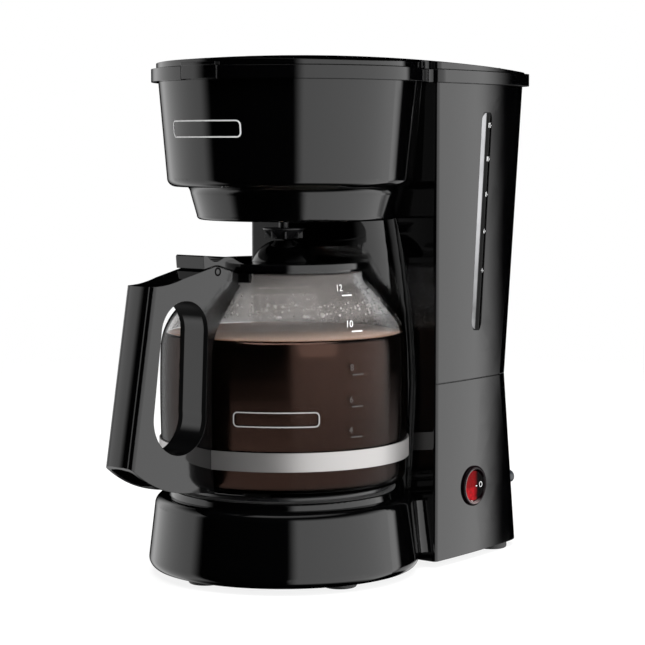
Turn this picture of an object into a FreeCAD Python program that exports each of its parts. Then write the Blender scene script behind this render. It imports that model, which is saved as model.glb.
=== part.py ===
import FreeCAD, Part
import math
import os
from FreeCAD import Vector

# Drip coffee maker, twelve-cup size. Millimetres, +Z up, Z = 0 under the feet.
# Everything is drawn about one vertical axis, X = 0 and Y = 0, that the drum base, the hot plate,
# the carafe and the drip valve share. The tower stands behind it, towards +Y. FRAME_Y then moves
# the finished pieces so that the row's origin is under the middle of the whole machine.

# Driving dimensions
FRAME_Y = -16.76           # from the carafe axis to the row's origin
WALL = 2.5                 # moulded housing wall
BASE_Z = 4.0               # underside of the housing, on top of the feet
SEAM_Z = 111.3             # joint between the lower and upper housings
SEAM_GROOVE = (0.6, 1.0)   # height and depth of the shadow line at the joint
RIM_Z = 291.0              # top edge of the upper housing
COLLAR_TOP = 298.5
LID_BOTTOM = 298.9
LID_TOP = 307.5

TOWER_HALF_WIDTH = 73.2
TOWER_FRONT = 54.6
TOWER_BACK_FOOT = 160.3
TOWER_BACK_SEAM = 144.9
TOWER_BACK_TOP = 166.6
TOWER_REAR_CORNER = 22.0
TOWER_SIDE_BOW = 600.0       # radius of the slight outward bow of the tower's sides
TOWER_CROWN = 78.0           # where along Y the bow is widest
TOWER_FRONT_CORNER = 2.5

DRUM_TOP = 46.6
DRUM_FOOT = (81.1, 9.8)    # radius and height where the drum is widest
DRUM_SHOULDER = (77.4, 41.0)
COVE_R = 6.0               # inside rounding where the drum runs into the tower's front
PLATE_RING_R = 68.3
PLATE_RING_TOP = 50.5
HOT_PLATE_R = 64.0
HOT_PLATE_TOP = 54.0
HOT_PLATE_UNDER = 52.2

HEAD_Y = 6.0               # the brew head is a round bowl just behind the carafe axis
HEAD_R = 78.0
HEAD_LOW_R = 73.2
HEAD_FLOOR = 229.6
CHAMBER_Y = 12.0           # the stepped cup under the bowl is a little further back
CHAMBER_FLOOR = 210.0
OVERHANG = 4.2             # collar beyond the housing
LID_GROW = 1.2             # lid beyond the housing, inside the collar's edge
TAB_HALF_WIDTH = 13.0

GLASS_WALL = 2.2
GLASS_BOTTOM = 54.3
NECK_R = 48.9
NECK_TOP = 182.5
HANDLE_TURN = 2.5          # the carafe stands turned this many degrees on its plate
HANDLE_HALF_WIDTH = 11.0
HANDLE_WALL = 2.4
LEVER_PIN = (68.0, 182.4)  # distance from the carafe axis, and height

SWITCH_Y = 94.0
SWITCH_Z = 45.5
ROCKER_PIVOT_X = 71.5
ROCKER_TILT = 8.0          # degrees between the rocker's two faces
GLAND_X = 60.0
GLAND_Z = 42.8
GLAND_R = 4.0
GLAND_BORE_R = 2.95

ELEMENT_Z = 48.4
WATER_TUBE_Z = 37.4
TUBE_R = 4.4               # outside radius of the water tube, riser and spigot
HOSE_R = 6.0
SPIGOT = (40.0, 105.0)
RISER = (-62.5, 66.0)
SPOUT_Z = 290.6            # height of the nozzle that pours into the shower head
TANK_FLOOR = 118.0
TANK_TOP = 284.0

VALVE_TIP = 198.5
SHOWER_TOP = 297.0
SHOWER_R = 50.0
SHOWER_POSTS = [(0, 46.4), (0, -46.4), (46.4, 0), (-46.4, 0)]
WINDOW_HALF_WIDTH = 5.6
WINDOW_ENDS = (Vector(0, 96.2, 141.3), Vector(0, 107.6, 274.0))

HINGE_Y = 166.4
HINGE_Z = 300.2
HINGE_R = 3.2
HINGE_XS = (-34.0, 34.0)
PIN_R = 1.5
PIN_HOLE_R = 1.56

BASE_SCREWS = [(-71.2, 4.0), (71.2, 4.0), (-24.0, -66.5), (-66.4, 112.0), (66.4, 112.0)]
FEET = [(-9.0, -61.0), (-58.0, -20.0), (58.0, -20.0), (-60.0, 133.0), (60.0, 133.0)]


# Small builders

def cylinder(radius, z0, z1, x=0.0, y=0.0):
    return Part.makeCylinder(radius, z1 - z0, Vector(x, y, z0))


def ring(outer, inner, z0, z1, x=0.0, y=0.0):
    return cylinder(outer, z0, z1, x, y).cut(cylinder(inner, z0 - 1, z1 + 1, x, y))


def block(x0, x1, y0, y1, z0, z1):
    return Part.makeBox(x1 - x0, y1 - y0, z1 - z0, Vector(x0, y0, z0))


def rod(start, end, radius):
    axis = end - start
    return Part.makeCylinder(radius, axis.Length, start, axis)


def face_of(points, place):
    """A flat face from an outline. A point is a pair, and an arc is a (middle, end) pair of points."""
    edges = []
    first = last = place(*points[0])
    for item in points[1:]:
        if isinstance(item[0], tuple):
            middle, end = place(*item[0]), place(*item[1])
            edges.append(Part.Arc(last, middle, end).toShape())
        else:
            end = place(*item)
            edges.append(Part.makeLine(last, end))
        last = end
    if last.distanceToPoint(first) > 1e-6:
        edges.append(Part.makeLine(last, first))
    return Part.Face(Part.Wire(edges))


def turned(points, x=0.0, y=0.0):
    """A solid of revolution about a vertical axis, from its (radius, height) outline."""
    face = face_of(points, lambda r, z: Vector(x + r, y, z))
    return face.revolve(Vector(x, y, 0), Vector(0, 0, 1), 360)


def plate_of(points, z0, z1):
    """A flat plate from its (x, y) outline."""
    face = face_of(points, lambda x, y: Vector(x, y, z0))
    return face.extrude(Vector(0, 0, z1 - z0))


def side_prism(points, half_width):
    """A prism from its (radius, height) outline, drawn along +X for a carafe handle piece."""
    face = face_of(points, lambda r, z: Vector(r, -half_width, z))
    return face.extrude(Vector(0, 2 * half_width, 0))


def fused(shapes):
    return shapes[0].multiFuse(shapes[1:]).removeSplitter()


def group(shapes):
    return Part.makeCompound(shapes)


def route(points, bend):
    """A wire through the points with tangent arcs of the bend radius at its corners."""
    edges = []
    last = points[0]
    for before, corner, after in zip(points, points[1:], points[2:]):
        back = (before - corner).normalize()
        ahead = (after - corner).normalize()
        half_turn = (math.pi - back.getAngle(ahead)) / 2
        reach = bend * math.tan(half_turn)
        start, end = corner + back * reach, corner + ahead * reach
        middle = corner + (back + ahead).normalize() * (bend / math.cos(half_turn) - bend)
        edges.append(Part.makeLine(last, start))
        edges.append(Part.Arc(start, middle, end).toShape())
        last = end
    edges.append(Part.makeLine(last, points[-1]))
    return Part.Wire(edges)


def swept(points, bend, radius):
    path = route(points, bend)
    section = Part.Wire(Part.makeCircle(radius, points[0], points[1] - points[0]))
    return path.makePipeShell([section], True, False)


def hose(points, bend, outer, inner):
    return swept(points, bend, outer).cut(swept(points, bend, inner))


def rounded(shape, radius, chosen):
    return shape.makeFillet(radius, [edge for edge in shape.Edges if chosen(edge)])


def on_side(shape):
    """Lay a piece drawn about the vertical axis onto the switch's axis, which runs along +X."""
    laid = shape.copy()
    laid.rotate(Vector(0, 0, 0), Vector(0, 1, 0), 90)
    laid.translate(Vector(0, SWITCH_Y, SWITCH_Z))
    return laid


def on_carafe(shape):
    """Turn a piece drawn along +X to where the carafe's handle points."""
    placed = shape.copy()
    placed.rotate(Vector(0, 0, 0), Vector(0, 0, 1), -90 - HANDLE_TURN)
    return placed


# Shapes that several pieces share

def back_y(z):
    """The tower's back leans in down to the seam, and out again below it."""
    if z >= SEAM_Z:
        share = (z - SEAM_Z) / (RIM_Z - SEAM_Z)
        return TOWER_BACK_SEAM + (TOWER_BACK_TOP - TOWER_BACK_SEAM) * share
    share = (SEAM_Z - z) / (SEAM_Z - BASE_Z)
    return TOWER_BACK_SEAM + (TOWER_BACK_FOOT - TOWER_BACK_SEAM) * share


def tower_plan(back, grow):
    """Outline of the tower seen from above: bowed sides, small front and large rear corners."""
    half, front, back = TOWER_HALF_WIDTH + grow, TOWER_FRONT - grow, back + grow
    bow = TOWER_SIDE_BOW + grow

    def corner(radius, y, square):
        """A corner's circle, tangent to the side: where the side meets it, its middle and its end."""
        lean = math.asin((y - TOWER_CROWN) / (bow - radius))
        x = half - bow + (bow - radius) * math.cos(lean)
        turns = (lean, (lean + square) / 2, square)
        return [(x + radius * math.cos(turn), y + radius * math.sin(turn)) for turn in turns]

    tip = max(TOWER_FRONT_CORNER + grow, 0.4)
    rear = TOWER_REAR_CORNER + grow
    tip_side, tip_mid, tip_end = corner(tip, front + tip, -math.pi / 2)
    rear_side, rear_mid, rear_end = corner(rear, back - rear, math.pi / 2)
    crown = (half, TOWER_CROWN)

    def left(point):
        return (-point[0], point[1])

    return [left(tip_end), tip_end, (tip_mid, tip_side), (crown, rear_side), (rear_mid, rear_end),
            left(rear_end), (left(rear_mid), left(rear_side)), (left(crown), left(tip_side)),
            (left(tip_mid), left(tip_end))]


def tower(z0, z1, grow=0.0):
    wires = [face_of(tower_plan(back_y(z), grow), lambda x, y, z=z: Vector(x, y, z)).OuterWire
             for z in (z0, z1)]
    return Part.makeLoft(wires, True, True)


def niche(grow, z0, z1):
    """The hollow in the tower's front that the carafe stands in."""
    whole = turned([(0, 20), (77.0 + grow, 20), (77.0 + grow, DRUM_TOP), (79.6 + grow, SEAM_Z),
                    ((76.3 + grow, 161), (69.0 + grow, 210)), (69.0 + grow, 240), (0, 240)])
    return whole.common(cylinder(120, z0, z1))


def chamber_form(grow=0.0):
    """Outside of the stepped cup that hangs under the bowl, flared to meet it."""
    return turned([(0, CHAMBER_FLOOR - grow), (57 + grow, CHAMBER_FLOOR - grow),
                   ((59.0 + grow, 210.7), (59.7 + grow, 212.4)), (63.3 + grow, 225.2),
                   ((64.1 + grow, 227.9), (66.4 + grow, HEAD_FLOOR + 0.7)), (66.4 + grow, 232.6),
                   (0, 232.6)], y=CHAMBER_Y)


def bowl(grow=0.0):
    """The round brew head, wider at the top, with a rolled lower edge."""
    floor, low = HEAD_FLOOR - grow, HEAD_LOW_R + grow
    return turned([(0, floor), (low - 5.2, floor), ((low - 1.5, floor + 1.5), (low, floor + 5.2)),
                   (HEAD_R + grow, RIM_Z), (0, RIM_Z)], y=HEAD_Y)


def top_plan(z0, z1, grow):
    """Bowl and tower together seen from above, with the inner corners between them rounded."""
    both = fused([plate_of(tower_plan(TOWER_BACK_TOP, grow), z0, z1),
                  cylinder(HEAD_R + grow, z0, z1, y=HEAD_Y)])

    def inner_corner(edge):
        box = edge.BoundBox
        return (box.XLength + box.YLength < 0.1 and abs(box.YMin - TOWER_FRONT + grow) < 0.05
                and abs(box.XMin) < TOWER_HALF_WIDTH - 3.4)

    return rounded(both, 3.5, inner_corner)


def lid_dome(drop):
    """A shallow dome, long from front to back, with its highest line at LID_TOP."""
    crown_y, along, across = 45.0, 1435.0, 608.0
    top = LID_TOP - drop
    half = 95.0
    edge_z = top - (across - math.sqrt(across ** 2 - half ** 2))
    section = face_of([(-half, 260), (half, 260), (half, edge_z), ((0, top), (-half, edge_z))],
                      lambda x, z: Vector(x, crown_y, z))
    centre = Vector(0, crown_y, top - along)
    back_half = section.revolve(centre, Vector(1, 0, 0), -6)
    front_half = section.revolve(centre, Vector(1, 0, 0), 6)
    return fused([back_half, front_half])


def glass_form(grow, rim=NECK_TOP):
    """The carafe's body: upright wall, round shoulder and short neck."""
    return turned([(0, GLASS_BOTTOM - grow), (66.4, GLASS_BOTTOM - grow),
                   ((70.9 + grow, 56.2 - grow / 2), (72.7 + grow, 61.0)),
                   ((73.9 + grow, 95), (73.6 + grow, 134)),
                   ((71.2 + grow * 0.9, 145.6 + grow * 0.4), (64.3 + grow * 0.8, 156.8 + grow * 0.6)),
                   (53.4 + grow * 0.8, 170.6 + grow * 0.6),
                   ((50.1 + grow, 174.2 + grow / 2), (NECK_R + grow, 178.4)),
                   (NECK_R + grow, rim), (0, rim)])


def cove(side):
    """Rounded inside corner between the drum's wall and the tower's front, on one side."""
    reach = COVE_R - 0.02
    wires = []
    for radius, z in (DRUM_FOOT, DRUM_SHOULDER):
        y = TOWER_FRONT - reach
        x = math.sqrt((radius + reach) ** 2 - y ** 2)
        on_drum = Vector(x, y, 0) * (radius / (radius + COVE_R))
        inward = Vector(-x, -y, 0).normalize() + Vector(0, 1, 0)
        middle = Vector(x, y, 0) + inward.normalize() * COVE_R
        root = Vector(math.sqrt(radius ** 2 - TOWER_FRONT ** 2) - 2, TOWER_FRONT + 1.4, 0)
        points = [(root.x, root.y), (x, TOWER_FRONT + 0.02), ((middle.x, middle.y), (on_drum.x, on_drum.y))]
        wires.append(face_of(points, lambda x, y, z=z: Vector(side * x, y, z)).OuterWire)
    return Part.makeLoft(wires, True, True)


# Housing

def base_housing():
    drum = turned([(0, BASE_Z), (78.6, BASE_Z), ((80.5, 6.2), DRUM_FOOT), DRUM_SHOULDER,
                   ((75.5, 45.0), (71.6, DRUM_TOP)), (PLATE_RING_R + 0.6, DRUM_TOP),
                   (PLATE_RING_R, 49.6), ((PLATE_RING_R - 0.3, 50.25), (PLATE_RING_R - 1.0, PLATE_RING_TOP)),
                   (0, PLATE_RING_TOP)])
    column = tower(BASE_Z, SEAM_Z).cut(niche(0, DRUM_TOP, SEAM_Z + 1))
    outside = fused([column, drum, cove(1), cove(-1)])
    hollow_drum = turned([(0, BASE_Z - 1), (76.2, BASE_Z - 1), (78.4, 9.8), (74.9, 41.0),
                          (71.6, DRUM_TOP - WALL), (0, DRUM_TOP - WALL)])
    hollow_column = tower(BASE_Z - 1, SEAM_Z, -WALL).cut(niche(WALL, DRUM_TOP - WALL, SEAM_Z + 1))
    bosses = [cylinder(4.6, 6.4, DRUM_TOP - 2, x, y) for x, y in BASE_SCREWS]
    shell = outside.cut(fused([hollow_drum, hollow_column]))
    shell = fused([shell] + [boss.common(outside) for boss in bosses])
    openings = [cylinder(1.4, 5.0, 20.0, x, y) for x, y in BASE_SCREWS]
    openings.append(cylinder(HOT_PLATE_R + 0.8, 30, 60))
    openings.append(rod(Vector(60, SWITCH_Y, SWITCH_Z), Vector(80, SWITCH_Y, SWITCH_Z), 10.5))
    openings.append(rod(Vector(GLAND_X, 135, GLAND_Z), Vector(GLAND_X, 170, GLAND_Z), GLAND_R))
    return shell.cut(group(openings))


def bottom_cover():
    inside = tower(BASE_Z, 6.4, -WALL - 0.4)
    cover = fused([cylinder(75.6, BASE_Z, 6.4), inside])
    holes = [cylinder(1.6, 3, 8, x, y) for x, y in BASE_SCREWS]
    sinks = [cylinder(3.3, 3, 5.4, x, y) for x, y in BASE_SCREWS]
    slots = [block(-26, 26, y - 1.2, y + 1.2, 3, 8) for y in (70, 78, 86, 94)]
    return cover.cut(group(holes)).cut(group(sinks)).cut(group(slots))


def base_screws():
    return group([fused([cylinder(3.0, 4.2, 5.4, x, y), cylinder(1.4, 5.4, 18.0, x, y)])
                  for x, y in BASE_SCREWS])


def feet():
    foot = turned([(0, 0), (8.6, 0), ((9.7, 0.4), (10.0, 1.4)), (10.0, BASE_Z), (0, BASE_Z)])
    pads = []
    for x, y in FEET:
        pad = foot.copy()
        pad.translate(Vector(x, y, 0))
        pads.append(pad)
    return group(pads)


def upper_housing():
    outside = fused([tower(SEAM_Z, RIM_Z), bowl()])
    outside = outside.cut(niche(0, SEAM_Z - 1, CHAMBER_FLOOR)).cut(chamber_form(0.25))
    column = tower(SEAM_Z, RIM_Z, -WALL).cut(niche(WALL, SEAM_Z - 1, CHAMBER_FLOOR + WALL))
    shell = outside.cut(column).cut(bowl(-WALL))
    slot = window_slot(WINDOW_HALF_WIDTH, TOWER_HALF_WIDTH - WALL - 3, TOWER_HALF_WIDTH + 2)
    overflow = [rod(Vector(dx, 140, 276), Vector(dx, 175, 276), 2.6) for dx in (-6, 6)]
    top = SEAM_Z + SEAM_GROOVE[0]
    groove = tower(SEAM_Z, top, 1.0).cut(tower(SEAM_Z, top, -SEAM_GROOVE[1]))
    return shell.cut(slot).cut(group(overflow)).cut(groove)


def window_slot(half, x0, x1):
    """A leaning slot with round ends, cut along X."""
    low, high = WINDOW_ENDS
    up = (high - low).normalize()
    side = Vector(0, up.z, -up.y) * half
    low_end, high_end = low + up * half, high - up * half
    edges = [Part.makeLine(low_end - side, high_end - side),
             Part.Arc(high_end - side, high_end + up * half, high_end + side).toShape(),
             Part.makeLine(high_end + side, low_end + side),
             Part.Arc(low_end + side, low_end - up * half, low_end - side).toShape()]
    face = Part.Face(Part.Wire(edges))
    face.translate(Vector(x0, 0, 0))
    return face.extrude(Vector(x1 - x0, 0, 0))


def water_window():
    """Clear bar with a ridge down its middle, bonded into its slot."""
    inner, edge, crest = TOWER_HALF_WIDTH - WALL - 1.35, TOWER_HALF_WIDTH - 0.6, TOWER_HALF_WIDTH + 1.3
    bar = window_slot(WINDOW_HALF_WIDTH, inner, crest)
    low, high = WINDOW_ENDS
    up = (high - low).normalize()
    side = Vector(0, up.z, -up.y)
    start = low - up * 5
    span = up * ((high - low).Length + 10)
    corners = [(inner, -9), (edge, -9), (edge, -5.2), (crest, -0.2), (crest, 0.2), (edge, 5.2), (edge, 9),
               (inner, 9)]
    face = face_of(corners, lambda x, s: Vector(x, 0, 0) + start + side * s)
    ridge = face.extrude(span)
    return bar.common(ridge)


def brew_chamber():
    flange = cylinder(69.0, 232.0, 234.4, y=CHAMBER_Y).common(bowl(-WALL - 0.3))
    outside = fused([chamber_form(), flange, cylinder(19.0, CHAMBER_FLOOR - 1.0, CHAMBER_FLOOR + 1)])
    inside = turned([(0, 212.3), (56.2, 212.3), ((57.3, 212.8), (57.7, 214.0)), (61.0, 225.6),
                     (63.6, 231.0), (63.6, 240), (0, 240)], y=CHAMBER_Y)
    return outside.cut(inside).cut(cylinder(8.0, 200, 220))


def filter_basket():
    outside = fused([turned([(0, 213.8), (41.4, 213.8), ((42.6, 214.2), (43.2, 215.4)), (57.6, 278.4),
                             (60.6, 278.4), (60.6, 280.4), (0, 280.4)]),
                     ring(38.0, 36.0, 212.3, 214.5)])
    inside = turned([(0, 215.4), (41.2, 215.4), (56.0, 281), (0, 281)])
    spokes = []
    for step in range(12):
        spoke = block(-0.6, 0.6, 20, 44, 214.8, 217.2)
        spoke.rotate(Vector(0, 0, 0), Vector(0, 0, 1), 30 * step)
        spokes.append(spoke)
    grips = [block(-9, 9, 58.0, 64.0, 278.4, 280.4), block(-9, 9, -64.0, -58.0, 278.4, 280.4)]
    cup = outside.cut(inside)
    return fused([cup] + [spoke.common(outside) for spoke in spokes] + grips).cut(cylinder(5.0, 210, 220))


def valve_cage():
    legs = [cylinder(1.2, 215.4, 231.0, 13.0 * math.cos(turn), 13.0 * math.sin(turn))
            for turn in (math.radians(90 + 120 * step) for step in range(3))]
    return fused([ring(14.6, 11.4, 215.4, 216.6), cylinder(14.6, 230.0, 231.4)] + legs)


def drip_valve():
    body = turned([(0, VALVE_TIP), (5.4, VALVE_TIP), ((6.0, VALVE_TIP + 0.2), (6.5, VALVE_TIP + 0.7)),
                   (12.5, 204.1), (12.7, 205.0), (3.0, 205.0), (3.0, 216.2), (8.0, 216.2), (8.0, 218.0),
                   (0, 218.0)])
    fins = []
    for step in range(8):
        fin = block(-0.5, 0.5, 5.5, 11.2, 199.0, 204.6)
        fin.rotate(Vector(0, 0, 0), Vector(0, 0, 1), 45 * step)
        fins.append(fin.common(cylinder(11.8, VALVE_TIP, 206)))
    return fused([body] + fins)


def valve_spring():
    coil_r, pitch, height = 5.4, 2.2, 11.0
    section = Part.Wire(Part.makeCircle(0.4, Vector(coil_r, 0, 0), Vector(0, 1, 0.065)))
    spring = Part.Wire(Part.makeLongHelix(pitch, height, coil_r)).makePipeShell([section], True, True)
    spring.translate(Vector(0, 0, 218.5))
    return spring


def rim_collar():
    collar = top_plan(RIM_Z, COLLAR_TOP, OVERHANG).cut(top_plan(RIM_Z - 1, COLLAR_TOP + 1, -4.0))
    tab_gap = block(-TAB_HALF_WIDTH - 0.5, TAB_HALF_WIDTH + 0.5, -100, -60, RIM_Z - 1, COLLAR_TOP + 1)
    collar = collar.cut(tab_gap.cut(top_plan(RIM_Z - 2, COLLAR_TOP + 2, 0.3)))
    ears, gaps, bores = [], [], []
    for x in HINGE_XS:
        for x0 in (x - 8.0, x + 4.4):
            ears.append(rod(Vector(x0, HINGE_Y, HINGE_Z), Vector(x0 + 3.6, HINGE_Y, HINGE_Z), HINGE_R))
            ears.append(block(x0, x0 + 3.6, HINGE_Y - HINGE_R, HINGE_Y + HINGE_R, 296, HINGE_Z))
        gaps.append(block(x - 4.4, x + 4.4, HINGE_Y - 4.2, HINGE_Y + 6, HINGE_Z - HINGE_R - 0.4, HINGE_Z + 6))
        bores.append(rod(Vector(x - 9, HINGE_Y, HINGE_Z), Vector(x + 9, HINGE_Y, HINGE_Z), PIN_R))
    return fused([collar] + ears).cut(group(gaps)).cut(group(bores))


def lid():
    outside = top_plan(LID_BOTTOM, LID_TOP + 4, LID_GROW).common(lid_dome(0.0))
    trim = block(-120, 120, HINGE_Y - 3.6, 200, 280, 320)
    outside = outside.cut(trim)
    inside = top_plan(LID_BOTTOM - 4, LID_TOP + 4, -1.2).common(lid_dome(2.2)).cut(
        block(-120, 120, HINGE_Y - 6.0, 200, 280, 320))
    wide = TAB_HALF_WIDTH
    front = block(-wide, wide, -100, -60, RIM_Z, 302)
    tab = ring(HEAD_R + OVERHANG, HEAD_R + 0.6, RIM_Z + 0.4, LID_BOTTOM + 1.8, y=HEAD_Y).common(front)
    lip = ring(HEAD_R + OVERHANG + 0.9, HEAD_R + 0.4, LID_BOTTOM, LID_BOTTOM + 1.8, y=HEAD_Y).common(front)
    posts = [cylinder(3.0, SHOWER_TOP, 306, x, y).common(fused([outside, block(-60, 60, -60, 60, 280, 300)]))
             for x, y in SHOWER_POSTS]
    knuckles, bores = [], []
    for x in HINGE_XS:
        knuckles.append(rod(Vector(x - 4, HINGE_Y, HINGE_Z), Vector(x + 4, HINGE_Y, HINGE_Z), HINGE_R))
        knuckles.append(block(x - 4, x + 4, HINGE_Y - 8, HINGE_Y, LID_BOTTOM, HINGE_Z + 2.4))
        bores.append(rod(Vector(x - 9, HINGE_Y, HINGE_Z), Vector(x + 9, HINGE_Y, HINGE_Z), PIN_HOLE_R))
    return fused([outside.cut(inside), tab, lip] + posts + knuckles).cut(group(bores))


def lid_hinge_pins():
    return group([rod(Vector(x - 8, HINGE_Y, HINGE_Z), Vector(x + 8, HINGE_Y, HINGE_Z), PIN_R)
                  for x in HINGE_XS])


def shower_head():
    tray = cylinder(SHOWER_R, 284.0, SHOWER_TOP).cut(cylinder(SHOWER_R - 1.8, 285.6, SHOWER_TOP + 1))
    seats = [cylinder(3.0, 285, SHOWER_TOP, x, y) for x, y in SHOWER_POSTS]
    holes = []
    for radius, count in ((10, 6), (22, 10), (34, 16)):
        for step in range(count):
            turn = 2 * math.pi * step / count
            holes.append(cylinder(1.3, 280, 290, radius * math.cos(turn), radius * math.sin(turn)))
    mouth = rod(Vector(-36, 51.6, SPOUT_Z), Vector(-20, 28.7, SPOUT_Z), TUBE_R)
    return fused([tray] + seats).cut(group(holes)).cut(mouth)


# Water path

def water_tank():
    def form(grow, z0, z1):
        room = tower(z0, z1, grow).cut(cylinder(83.5 - grow - 3.9, z0 - 1, z1 + 1))
        return room.cut(block(-90, -55.5 - grow - 3.9, 40, 73.5 - grow - 3.9, z0 - 1, z1 + 1))

    shell = form(-3.9, TANK_FLOOR, TANK_TOP).cut(form(-5.7, TANK_FLOOR + 2.2, TANK_TOP))
    x, y = SPIGOT
    spigot = cylinder(TUBE_R, 106.0, TANK_FLOOR + 1, x, y)
    passage = fused([cylinder(1.8, 105, TANK_FLOOR + 4, x, y), cylinder(3.0, 105, 113.0, x, y)])
    return fused([shell, spigot]).cut(passage)


def check_valve_cage():
    x, y = SPIGOT
    return ring(3.0, 2.0, 106.0, 107.0, x, y)


def check_valve_ball():
    x, y = SPIGOT
    return Part.makeSphere(2.4, Vector(x, y, 108.7))


def bent_tube(z, end_y, radius):
    """Half-round front and two legs, as one bent tube under the hot plate."""
    points = [Vector(-40, end_y, z), Vector(-40, -40, z), Vector(40, -40, z), Vector(40, end_y, z)]
    return swept(points, 39.5, radius)


def water_tube():
    return bent_tube(WATER_TUBE_Z, 46, TUBE_R).cut(bent_tube(WATER_TUBE_Z, 46, TUBE_R - 1))


def inlet_hose():
    x, y = SPIGOT
    return hose([Vector(x, 40, WATER_TUBE_Z), Vector(x, y, WATER_TUBE_Z), Vector(x, y, 114)],
                20, HOSE_R, TUBE_R)


def outlet_hose():
    x, y = RISER
    points = [Vector(-40, 40, WATER_TUBE_Z), Vector(-40, 93, WATER_TUBE_Z), Vector(x, 93, 62),
              Vector(x, y, 88), Vector(x, y, 112)]
    return hose(points, 11, HOSE_R, TUBE_R)


def riser_tube():
    x, y = RISER
    return ring(TUBE_R, TUBE_R - 1, 103.0, 281.5, x, y)


def outlet_nozzle():
    x, y = RISER
    points = [Vector(x, y, 272), Vector(x, y, SPOUT_Z), Vector(-46, y, SPOUT_Z),
              Vector(-31.2, 44.7, SPOUT_Z)]
    return hose(points, 8, HOSE_R, TUBE_R)


# Heater

def hot_plate():
    plate = turned([(0, HOT_PLATE_UNDER), (62.2, HOT_PLATE_UNDER), (62.2, 47.6), (HOT_PLATE_R, 47.6),
                    (HOT_PLATE_R, 52.9), ((63.7, 53.7), (62.9, HOT_PLATE_TOP)), (0, HOT_PLATE_TOP)])
    studs = [cylinder(3.2, 44.7, HOT_PLATE_UNDER + 0.5, x, 0) for x in (-22, 22)]
    return fused([plate] + studs).cut(group([cylinder(1.5, 44, 50, x, 0) for x in (-22, 22)]))


def plate_seal():
    return turned([(64.05, 46.0), (64.75, 46.0), (64.75, PLATE_RING_TOP), (66.8, PLATE_RING_TOP),
                   ((66.6, 51.1), (66.0, 51.3)), (64.05, 51.3)])


def heating_element():
    return bent_tube(ELEMENT_Z, 34, 3.6)


def element_terminals():
    return group([rod(Vector(x, 34, ELEMENT_Z), Vector(x, 39, ELEMENT_Z), 1.2) for x in (-40, 40)])


def element_bracket():
    strip = block(-47, 47, -7, 7, 43.2, 44.6)
    return strip.cut(group([cylinder(1.6, 42, 46, x, 0) for x in (-22, 22)]))


def bracket_screws():
    return group([fused([cylinder(3.2, 41.4, 43.2, x, 0), cylinder(1.5, 43.2, 49.0, x, 0)])
                  for x in (-22, 22)])


def thermostat():
    blades = [block(-1.6, 1.6, y, y + 4, 47.0, 47.8) for y in (-11.5, 7.5)]
    return fused([cylinder(8.0, 44.7, 52.0)] + blades)


def thermal_fuse():
    return rod(Vector(-8, 19, 48.4), Vector(8, 19, 48.4), 2.0)


def fuse_sleeve():
    return rod(Vector(-7, 19, 48.4), Vector(7, 19, 48.4), 2.9).cut(
        rod(Vector(-8, 19, 48.4), Vector(8, 19, 48.4), 2.0))


# Switch and internal leads

def switch_bezel():
    """Round frame in the housing's side, with a rim that follows the bowed wall."""
    under = TOWER_HALF_WIDTH - 1
    ring_form = turned([(9.8, 61.0), (10.4, 61.0), (10.4, under), (12.4, under), (12.4, TOWER_HALF_WIDTH),
                        ((12.0, 74.5), (11.0, 75.0)), (10.4, 74.9), (9.8, 74.2)])
    hole = rod(Vector(60, SWITCH_Y, SWITCH_Z), Vector(80, SWITCH_Y, SWITCH_Z), 10.5)
    wall = tower(BASE_Z, SEAM_Z).cut(hole)
    return on_side(ring_form).cut(wall).cut(rod(Vector(ROCKER_PIVOT_X, SWITCH_Y, SWITCH_Z - 10.2),
                                                Vector(ROCKER_PIVOT_X, SWITCH_Y, SWITCH_Z + 10.2), 1.0))


def switch_body():
    blades = [block(54, 58, y - 0.4, y + 0.4, 28.0, 39.0) for y in (SWITCH_Y - 6, SWITCH_Y + 6)]
    return fused([on_side(cylinder(10.4, 50.0, 61.0))] + blades)


def switch_lamp():
    return fused([rod(Vector(61, SWITCH_Y, SWITCH_Z), Vector(65.5, SWITCH_Y, SWITCH_Z), 2.2),
                  Part.makeSphere(2.2, Vector(65.5, SWITCH_Y, SWITCH_Z))])


def switch_rocker():
    """Round paddle whose two faces meet in a shallow valley at its middle."""
    face, rise = 73.2, 9.1 * math.tan(math.radians(ROCKER_TILT))
    valley = face_of([(68.6, -12), (face, -12), (face, 0), (face + rise * 12 / 9.1, 12), (68.6, 12)],
                     lambda x, y: Vector(x, SWITCH_Y + y, SWITCH_Z - 12)).extrude(Vector(0, 0, 24))
    paddle = on_side(cylinder(9.1, 68.6, 78.0)).common(valley)
    return paddle.cut(rod(Vector(ROCKER_PIVOT_X, SWITCH_Y, SWITCH_Z - 12),
                          Vector(ROCKER_PIVOT_X, SWITCH_Y, SWITCH_Z + 12), 1.06))


def rocker_pin():
    return rod(Vector(ROCKER_PIVOT_X, SWITCH_Y, SWITCH_Z - 10.2),
               Vector(ROCKER_PIVOT_X, SWITCH_Y, SWITCH_Z + 10.2), 1.0)


def cord_gland():
    x, z = GLAND_X, GLAND_Z
    barrel = rod(Vector(x, 136.5, z), Vector(x, 154.2, z), GLAND_R)
    flange = rod(Vector(x, 136.5, z), Vector(x, 138.5, z), GLAND_R + 1.1)
    return rounded(barrel, 0.9, lambda edge: edge.BoundBox.YMin > 154).fuse(flange).cut(
        rod(Vector(x, 130, z), Vector(x, 160, z), GLAND_BORE_R))


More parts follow.
